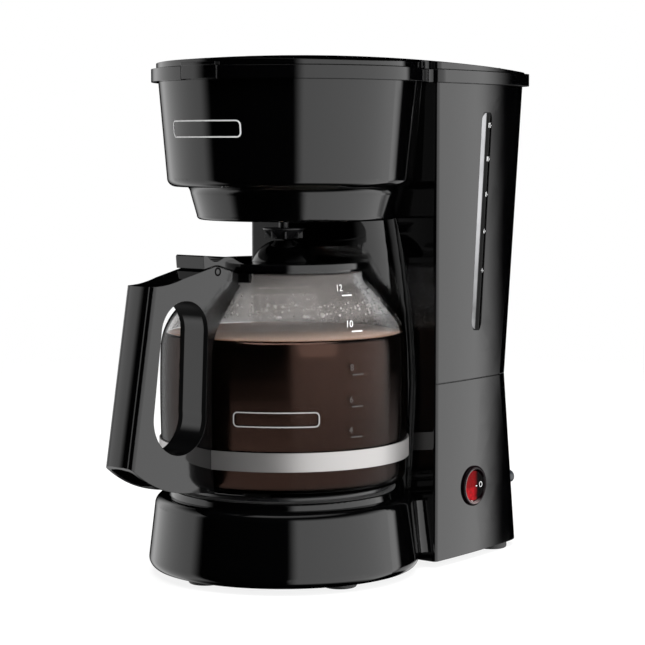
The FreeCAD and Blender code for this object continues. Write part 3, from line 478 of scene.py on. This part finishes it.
def on_glass(angle, height, lift=0.0):
    """A point on the glass's outside. The angle is from the front, -Y, towards +X, in degrees."""
    turn = math.radians(angle)
    radius = wall_radius(height, True) + lift
    return Vector((radius * math.sin(turn), AXIS_Y - radius * math.cos(turn), height))


def glyphs(name, text, size, depth):
    """Lettering as a flat mesh in X and Y, centred, with a little depth."""
    curve = bpy.data.curves.new(name, "FONT")
    curve.body = text
    curve.size = size
    curve.align_x = "CENTER"
    curve.align_y = "CENTER"
    curve.extrude = depth / 2
    curve.resolution_u = 4
    holder = bpy.data.objects.new(name + "_curve", curve)
    bpy.context.scene.collection.objects.link(holder)
    bpy.context.view_layer.update()
    mesh = bpy.data.meshes.new_from_object(holder.evaluated_get(bpy.context.evaluated_depsgraph_get()))
    bpy.data.objects.remove(holder)
    bpy.data.curves.remove(curve)
    return mesh


def bar_mesh(name, width, height, depth):
    """A thin printed bar with rounded ends, in X and Y."""
    build = bmesh.new()
    radius = height / 2
    outline = []
    for side, start in ((1, math.pi / 2), (-1, math.pi * 1.5)):
        for step in range(CORNER_STEPS + 1):
            turn = start - math.pi * step / CORNER_STEPS
            reach = side * (width / 2 - radius)
            outline.append((reach + radius * math.cos(turn), radius * math.sin(turn)))
    verts = [build.verts.new((x, y, depth / 2)) for x, y in outline]
    face = build.faces.new(verts)
    grown = bmesh.ops.extrude_face_region(build, geom=[face])
    moved = [v for v in grown["geom"] if isinstance(v, bmesh.types.BMVert)]
    bmesh.ops.translate(build, verts=moved, vec=(0, 0, -depth))
    bmesh.ops.recalc_face_normals(build, faces=build.faces)
    long_edges = [edge for edge in build.edges if edge.calc_length() > width / 3]
    bmesh.ops.subdivide_edges(build, edges=long_edges, cuts=8)
    mesh = bpy.data.meshes.new(name)
    build.to_mesh(mesh)
    build.free()
    return mesh


def outline_mesh(name, width, height, corner, line, depth):
    """A rounded rectangle drawn as a thin raised line, in X and Y."""
    build = bmesh.new()
    loops = []
    for inset in (0.0, line):
        for z in (depth / 2, -depth / 2):
            loop = []
            half_w, half_h, radius = width / 2 - inset, height / 2 - inset, corner - inset
            for quarter in range(4):
                turn0 = math.pi / 2 * quarter
                mid_x = (half_w - radius) * (1 if quarter in (0, 3) else -1)
                mid_y = (half_h - radius) * (1 if quarter in (0, 1) else -1)
                for step in range(CORNER_STEPS + 1):
                    turn = turn0 + math.pi / 2 * step / CORNER_STEPS
                    loop.append((mid_x + radius * math.cos(turn), mid_y + radius * math.sin(turn)))
            ends = loop[1:] + loop[:1]
            if inset == 0.0:
                counts = [max(1, int(math.dist(a, b) / OUTLINE_STEP)) for a, b in zip(loop, ends)]
            points = []
            for a, b, cuts in zip(loop, ends, counts):
                for k in range(cuts):
                    share = k / cuts
                    points.append((a[0] + (b[0] - a[0]) * share, a[1] + (b[1] - a[1]) * share))
            loops.append([build.verts.new((x, y, z)) for x, y in points])
    outer_top, outer_low, inner_top, inner_low = loops
    sides = ((outer_top, inner_top), (inner_top, inner_low), (inner_low, outer_low), (outer_low, outer_top))
    for a, b in sides:
        for k in range(len(a)):
            after = (k + 1) % len(a)
            build.faces.new((a[k], a[after], b[after], b[k]))
    bmesh.ops.recalc_face_normals(build, faces=build.faces)
    mesh = bpy.data.meshes.new(name)
    build.to_mesh(mesh)
    build.free()
    return mesh


def wrap_on_glass(mesh, angle, height, lean=0.0):
    """Bends a flat mesh onto the outside of the glass. lean turns it as it rises, in degrees a metre."""
    for vert in mesh.vertices:
        x, y, z = vert.co
        level = height + y
        radius = wall_radius(level, True)
        vert.co = on_glass(angle + math.degrees(x / radius) + lean * y, level, z + 0.00006)
    mesh.update()


# The carafe's contents and print

def make_coffee():
    bottom = NODES["carafe_glass"].ray_cast(Vector((0, AXIS_Y, 0.1)), Vector((0, 0, -1)))[1].z
    profile = [(0.0, bottom + 0.00005), (0.04, bottom + 0.00005)]
    overlap = 0.0004
    for height in sampled(bottom + 0.0006, COFFEE_LEVEL, 40):
        profile.append((wall_radius(height, False) + overlap, height))
    edge = wall_radius(COFFEE_LEVEL, False)
    for step in range(1, 8):
        share = step / 8
        profile.append((edge - 0.003 * share, COFFEE_LEVEL - 0.0009 * (1 - (1 - share) ** 2)))
    profile.append((0.0, COFFEE_LEVEL - 0.0009))
    mesh = lathe("coffee", profile, CARAFE_AXIS, False)
    piece("coffee", mesh, coffee_material(), "carafe")


def coffee_material():
    """Near-black coffee with a brown gloss, mixed to a dull dark at grazing angles."""
    material = bpy.data.materials.new("coffee")
    tree = Tree(material)
    place = tree.add("ShaderNodeTexCoord").outputs["Object"]
    cloud = tree.noise(place, 24, 3.0)
    base = tree.mix(cloud, rgb((0.0006, 0.0004, 0.0003)), rgb((0.0009, 0.0006, 0.0005)))
    ripple = tree.bump(tree.noise(place, 80, 2.0), 1.0, 0.000004)
    lit = tree.add("ShaderNodeBsdfPrincipled", {
        "Base Color": base, "Roughness": tree.ramp(cloud, 0.35, 0.65, 0.12, 0.18), "Normal": ripple,
        "IOR": 1.37, "Specular Tint": rgb((1.0, 0.55, 0.42))})
    dark = tree.add("ShaderNodeBsdfPrincipled", {"Base Color": base, "Roughness": 0.3, "Normal": ripple,
                                                 "IOR": 1.03})
    edge = tree.add("ShaderNodeLayerWeight", {"Blend": 0.5}).outputs["Facing"]
    both = tree.add("ShaderNodeMixShader", {0: tree.ramp(edge, 0.25, 0.65), 1: lit.outputs[0],
                                            2: dark.outputs[0]})
    tree.add("ShaderNodeOutputMaterial", {"Surface": both.outputs[0]})
    return material


def coffee_top_material():
    """Coffee surface painted pale tan as a painted reflection, redder and broken up against the glass."""
    material = bpy.data.materials.new("coffee_top_painted_sheen")
    tree = Tree(material)
    place = tree.add("ShaderNodeTexCoord").outputs["Object"]
    flat = tree.add("ShaderNodeVectorMath", {0: place, 1: (0, AXIS_Y, COFFEE_LEVEL)}, operation="SUBTRACT")
    far = tree.add("ShaderNodeVectorMath", {0: flat.outputs[0]}, operation="LENGTH").outputs["Value"]
    fleck_noise = tree.noise(place, 420, 4.0, 0.6)
    edge = wall_radius(COFFEE_LEVEL, False)
    ragged = tree.math("ADD", far, tree.math("MULTIPLY", fleck_noise, 0.006))
    rim = tree.ramp(ragged, edge - 0.004, edge)
    # painted reflection: the middle of the coffee surface is painted pale tan
    middle = tree.mix(tree.noise(place, 40, 3.0), rgb((0.50, 0.335, 0.255)), rgb((0.62, 0.425, 0.330)))
    colour = tree.mix(rim, middle, rgb((0.36, 0.190, 0.125)))
    shader = tree.add("ShaderNodeBsdfPrincipled", {
        "Base Color": colour, "Roughness": tree.ramp(fleck_noise, 0.3, 0.7, 0.35, 0.5),
        "Specular IOR Level": 0.15, "Normal": tree.bump(fleck_noise, 1.0, 0.00004)})
    tree.add("ShaderNodeOutputMaterial", {"Surface": shader.outputs[0]})
    return material


def make_coffee_top():
    edge = wall_radius(COFFEE_LEVEL, False)
    profile = [(0.0, COFFEE_LEVEL - 0.0008)]
    for step in range(9):
        share = step / 8
        profile.append((edge - 0.0035 + 0.0032 * share, COFFEE_LEVEL - 0.0008 + 0.0009 * share ** 2))
    profile.append((0.0, COFFEE_LEVEL + 0.0001))
    mesh = lathe("coffee_top", profile, CARAFE_AXIS, False)
    piece("coffee_top", mesh, coffee_top_material(), "carafe")


def make_steam_film():
    heights = sampled(COFFEE_LEVEL + 0.0004, GLASS_HIGH.z - 0.003, 36)
    gap, thick = 0.00025, 0.00012
    outer = [(wall_radius(height, False) - gap, height) for height in heights]
    inner = [(radius - thick, height) for radius, height in reversed(outer)]
    mesh = lathe("steam_film", outer + inner, CARAFE_AXIS, True)
    piece("steam_film", mesh, fog_material(), "carafe")


def make_droplets():
    """Beads of condensation inside the glass, which start higher up on its front and right."""
    rng = random.Random(7)
    build = bmesh.new()
    for _ in range(DROPLETS):
        angle = rng.uniform(0, 360)
        low = rng.random() < 0.72
        start = 0.0125 if -60 < (angle + 180) % 360 - 180 < 125 else 0.0015
        height = COFFEE_LEVEL + start + (rng.uniform(0.0, 0.0075) if low else rng.uniform(0.006, 0.013))
        size = rng.uniform(0.00035, 0.0011) * (1.0 if low else 0.6)
        turn = math.radians(angle)
        radius = wall_radius(height, False, angle) - 0.0002
        out = Vector((math.sin(turn), -math.cos(turn), 0))
        side = Vector((math.cos(turn), math.sin(turn), 0))
        middle = Vector((0, AXIS_Y, height)) + out * radius
        ball = bmesh.ops.create_icosphere(build, subdivisions=2, radius=1.0)["verts"]
        long = rng.uniform(0.95, 1.5)
        for vert in ball:
            across, deep, up = vert.co
            sag = 1.0 - 0.22 * up
            vert.co = (middle + side * (across * size * sag) - out * (deep * size * 0.42)
                       + Vector((0, 0, up * size * long)))
    for face in build.faces:
        face.smooth = True
    mesh = bpy.data.meshes.new("droplets")
    build.to_mesh(mesh)
    build.free()
    piece("droplets", mesh, drop_water, "carafe")


CUP_MARKS = [("12", 79.0, 0.1700, 700, True), ("10", 74.8, 0.1505, 370, True), ("8", 73.0, 0.1262, 0, False),
             ("6", 72.6, 0.1080, 0, False), ("4", 72.4, 0.0905, 0, False)]


def make_cup_marks():
    for text, angle, height, lean, bright in CUP_MARKS:
        finish = mark_white if bright else mark_grey
        dash = bar_mesh("cup_dash_" + text, 0.0078, 0.0007, PRINT_DEPTH)
        wrap_on_glass(dash, angle + 1.4, height - 0.0022)
        piece("cup_dash_" + text, dash, finish, "carafe")
        number = glyphs("cup_number_" + text, text, 0.0052, PRINT_DEPTH)
        wrap_on_glass(number, angle - 1.8, height + 0.0018, lean)
        piece("cup_number_" + text, number, finish, "carafe")


def make_glass_badge():
    plate = outline_mesh("glass_badge", 0.0502, 0.0088, 0.0028, 0.0007, PRINT_DEPTH)
    wrap_on_glass(plate, GLASS_BADGE_ANGLE, GLASS_BADGE_HEIGHT)
    piece("glass_badge", plate, badge_grey, "carafe")


# The drip valve's coil

def make_valve_spring():
    """The drip valve's coil, wound at an even pitch in place of the imported spring."""
    low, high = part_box("valve_spring")
    wire = SPRING_WIRE
    coil = (high.x - low.x) / 2 - wire
    turns = round((high.z - low.z - 2 * wire) / SPRING_PITCH)
    count = turns * SPRING_STEPS
    build = bmesh.new()
    rings = []
    for k in range(count + 1):
        turn = 2 * math.pi * turns * k / count
        out = Vector((math.cos(turn), math.sin(turn), 0))
        middle = Vector((0, AXIS_Y, low.z + wire + SPRING_PITCH * turns * k / count)) + out * coil
        ring = []
        for j in range(SPRING_SIDES):
            around = 2 * math.pi * j / SPRING_SIDES
            ring.append(build.verts.new(middle + out * (wire * math.cos(around))
                                        + Vector((0, 0, wire * math.sin(around)))))
        rings.append(ring)
    for first, second in zip(rings, rings[1:]):
        for j in range(SPRING_SIDES):
            after = (j + 1) % SPRING_SIDES
            build.faces.new((first[j], first[after], second[after], second[j])).smooth = True
    build.faces.new(rings[0])
    build.faces.new(rings[-1])
    bmesh.ops.recalc_face_normals(build, faces=build.faces)
    mesh = bpy.data.meshes.new("valve_coil")
    build.to_mesh(mesh)
    build.free()
    spring = piece("valve_coil", mesh, bright_steel, "machine")
    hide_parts("valve_spring")
    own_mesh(spring)


# The housing's print

def head_radius(height):
    """Distance of the brew head's wall from its own axis, at a height."""
    low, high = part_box("brew_chamber")
    middle = Vector((0, (low.y + high.y) / 2, height))
    return NODES["upper_housing"].ray_cast(middle + Vector((0, -0.2, 0)), Vector((0, 1, 0)))[1].y


def make_head_badge():
    head_y = AXIS_Y + 0.006
    plate = outline_mesh("head_badge", 0.0545, 0.0100, 0.0030, 0.0008, 0.0002)
    for vert in plate.vertices:
        x, y, z = vert.co
        height = HEAD_BADGE_HEIGHT + y
        radius = head_y - head_radius(height) + z + 0.00012
        turn = math.radians(HEAD_BADGE_TURN) + x / radius
        vert.co = (radius * math.sin(turn), head_y - radius * math.cos(turn), height)
    plate.update()
    piece("head_badge", plate, mark_white, "machine")


WINDOW_MARKS = [("12", 0.2660), ("10", 0.2455), ("8", 0.2240), ("6", 0.2016), ("4", 0.1775)]


def make_window_marks():
    """White numbers beside the ridge, each with a dot at its level."""
    lean = (WINDOW_HIGH.y - WINDOW_LOW.y - 2 * WINDOW_INSET) / (WINDOW_HIGH.z - WINDOW_LOW.z)
    foot = WINDOW_LOW.y + WINDOW_INSET

    def place(mesh, across, height):
        for vert in mesh.vertices:
            x, y, z = vert.co
            side = across + x
            level = height + y
            drop = WINDOW_SLOPE * max(abs(side) - 0.0002, 0.0)
            vert.co = (WINDOW_HIGH.x - drop + z + 0.00005, foot + lean * (level - WINDOW_LOW.z) + side, level)
        mesh.update()

    for text, height in WINDOW_MARKS:
        number = glyphs("window_number_" + text, text, 0.0042, PRINT_DEPTH)
        place(number, 0.0006, height)
        piece("window_number_" + text, number, mark_white, "machine")
        dot = bar_mesh("window_dot_" + text, 0.0012, 0.0008, PRINT_DEPTH)
        place(dot, 0.0036, height)
        piece("window_dot_" + text, dot, mark_white, "machine")


def make_switch_marks():
    """A ring for off and a short bar for on, printed on the rocker."""
    def face_x(y, z):
        start = Vector((SWITCH_HIGH.x + 0.02, y, z))
        return NODES["switch_rocker"].ray_cast(start, Vector((-1, 0, 0)))[1].x

    off = outline_mesh("switch_mark_off", 0.0026, 0.0034, 0.00129, 0.00034, PRINT_DEPTH)
    on = bar_mesh("switch_mark_on", 0.0013, 0.0005, PRINT_DEPTH)
    for mesh, across, up in ((off, 0.0064, 0.0002), (on, 0.0026, -0.0004)):
        for vert in mesh.vertices:
            x, y, z = vert.co
            side, level = SWITCH_CENTRE.y + across + x, SWITCH_CENTRE.z + up + y
            vert.co = (face_x(side, level) + z + 0.00006, side, level)
        mesh.update()
        piece(mesh.name, mesh, mark_white, "rocker")


def make_pin_mark():
    """A dark ring round the hinge pin's end, on the side of the handle."""
    low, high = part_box("carafe_lid_pin")
    turn = math.radians(HANDLE_TURN)
    ring = outline_mesh("pin_mark", 0.0050, 0.0050, 0.00248, 0.0008, PRINT_DEPTH)
    centre = Vector((high.x, low.y + PIN_RADIUS, (low.z + high.z) / 2))
    out = Vector((math.cos(turn), -math.sin(turn), 0))
    side = Vector((math.sin(turn), math.cos(turn), 0))
    for vert in ring.vertices:
        x, y, z = vert.co
        vert.co = centre + side * x + Vector((0, 0, y)) + out * z
    ring.update()
    piece("pin_mark", ring, dull_black, "carafe")


# Studio

def set_camera():
    data = bpy.data.cameras.new("camera")
    data.lens = CAMERA_LENS
    data.clip_start = 0.05
    camera = bpy.data.objects.new("camera", data)
    camera.location = CAMERA_AT
    camera.rotation_euler = (math.radians(90 - CAMERA_DOWN), 0, math.radians(CAMERA_AZIMUTH))
    bpy.context.scene.collection.objects.link(camera)
    bpy.context.scene.camera = camera


def set_world():
    """White paper behind the object, and two tall softboxes that only reflections and light see."""
    world = bpy.data.worlds.new("studio")
    bpy.context.scene.world = world
    tree = Tree(world)
    toward = tree.add("ShaderNodeTexCoord").outputs["Generated"]
    turn = math.radians(CAMERA_AZIMUTH)
    ahead = tree.dot(toward, (math.sin(turn), -math.cos(turn), 0))
    right = tree.dot(toward, (math.cos(turn), math.sin(turn), 0))
    up = tree.dot(toward, (0, 0, 1))
    round_to = tree.math("MULTIPLY", tree.math("ARCTAN2", right, ahead), 180 / math.pi)

    def window(value, start, full, ebb, end):
        return tree.math("MULTIPLY", tree.ramp(value, start, full), tree.ramp(value, ebb, end, 1.0, 0.0))

    tall = window(up, -0.85, -0.62, 0.35, 0.75)
    right_box = tree.math("MULTIPLY", window(round_to, 3, 14, 110, 118),
                          tree.ramp(round_to, 12, 90, 1.65, 2.1, False))
    left_box = tree.math("MULTIPLY", window(round_to, -165, -142, -86, -72),
                         tree.ramp(round_to, -140, -80, 1.4, 1.2, False))
    back_box = tree.math("MULTIPLY", window(round_to, 112, 122, 160, 175),
                         window(up, -0.5, -0.42, -0.24, -0.18))
    overhead = tree.ramp(up, 0.84, 0.97, 0.0, 1.0)
    boxes = tree.math("MULTIPLY", tree.math("ADD", right_box, left_box), tall)
    light = tree.math("ADD", boxes, tree.math("ADD", back_box, overhead))
    path = tree.add("ShaderNodeLightPath")
    bounces = tree.math("ADD", path.outputs["Glossy Depth"], path.outputs["Diffuse Depth"])
    direct = tree.math("LESS_THAN", bounces, 0.5)
    seen = tree.mix(direct, light, rgb((1.0, 1.0, 1.0)))
    background = tree.add("ShaderNodeBackground", {"Color": seen, "Strength": 1.0})
    tree.add("ShaderNodeOutputWorld", {"Surface": background.outputs[0]})
    world.cycles.sampling_method = "NONE"


def area_light(name, at, size, power):
    data = bpy.data.lights.new(name, "AREA")
    data.shape = "RECTANGLE"
    data.size, data.size_y = size
    data.energy = power
    lamp = bpy.data.objects.new(name, data)
    lamp.location = at
    lamp.rotation_euler = (Vector((0, 0, 0.1)) - Vector(at)).to_track_quat("-Z", "Y").to_euler()
    lamp.visible_glossy = False
    lamp.visible_camera = False
    bpy.context.scene.collection.objects.link(lamp)


def set_floor():
    """A pale round of paper that fades into the background."""
    build = bmesh.new()
    bmesh.ops.create_circle(build, cap_ends=True, segments=96, radius=1.6)
    mesh = bpy.data.meshes.new("floor")
    build.to_mesh(mesh)
    build.free()
    floor = bpy.data.objects.new("floor", mesh)
    bpy.context.scene.collection.objects.link(floor)
    material = bpy.data.materials.new("paper")
    tree = Tree(material)
    place = tree.add("ShaderNodeTexCoord").outputs["Object"]
    far = tree.add("ShaderNodeVectorMath", {0: place}, operation="LENGTH").outputs["Value"]
    paper = tree.add("ShaderNodeBsdfPrincipled", {
        "Base Color": rgb((0.16, 0.16, 0.16)), "Roughness": 0.9, "Specular IOR Level": 0.0,
        "Emission Color": rgb((1.0, 1.0, 1.0)), "Emission Strength": 0.86})
    clear = tree.add("ShaderNodeBsdfTransparent")
    both = tree.add("ShaderNodeMixShader", {0: tree.ramp(far, 0.45, 1.3), 1: paper.outputs[0],
                                            2: clear.outputs[0]})
    tree.add("ShaderNodeOutputMaterial", {"Surface": both.outputs[0]})
    mesh.materials.append(material)
    floor.visible_glossy = False
    floor.visible_diffuse = False


finish_cad_nodes()
make_coffee()
make_coffee_top()
make_steam_film()
make_droplets()
make_cup_marks()
make_glass_badge()
make_head_badge()
make_window_marks()
make_switch_marks()
make_pin_mark()
make_valve_spring()
set_camera()
set_world()
area_light("top_light", (0.3, -0.3, 2.2), (2.0, 2.0), 90)
area_light("right_light", (1.5, -0.5, 0.9), (1.2, 1.6), 12)
set_floor()
bpy.context.scene.view_settings.view_transform = "Standard"
